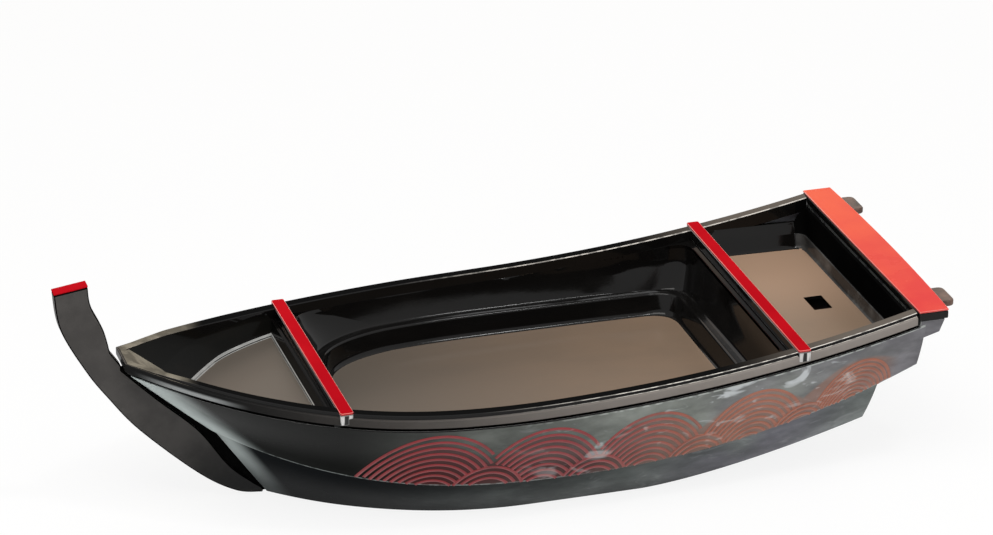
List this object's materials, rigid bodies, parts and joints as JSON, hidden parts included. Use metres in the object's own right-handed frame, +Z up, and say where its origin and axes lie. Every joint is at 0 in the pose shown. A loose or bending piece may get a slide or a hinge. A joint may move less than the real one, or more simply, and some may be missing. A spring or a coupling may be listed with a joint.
{
  "type": "sushi boat",
  "caption": "Boat-shaped sushi serving platter: black lacquer-look hull with wave fans, moulded deck with bow tray, main basin and aft deck, red-topped crossbars, stem post and transom board.",
  "frame": {"origin": "on the flat bottom of the hull, on the centre line, under the widest station", "axes": "+X to the bow, +Y to port, +Z up"},
  "size_m": [0.604, 0.234, 0.1702],
  "materials": {
    "black_lacquer": "high gloss black lacquer look",
    "satin_black": "satin black, slightly mottled",
    "red_lacquer": "gloss vermilion red"
  },
  "bodies": {
    "root": {"hull_shell": "black_lacquer", "deck_moulding": "black_lacquer", "stem_post": "satin_black", "stem_tip_cap": "red_lacquer", "front_crossbar": "black_lacquer", "front_crossbar_cap": "red_lacquer", "rear_crossbar": "black_lacquer", "rear_crossbar_cap": "red_lacquer", "transom_board": "black_lacquer", "transom_board_cap": "red_lacquer", "port_stern_lug": "satin_black", "starboard_stern_lug": "satin_black"}
  },
  "joints": []
}
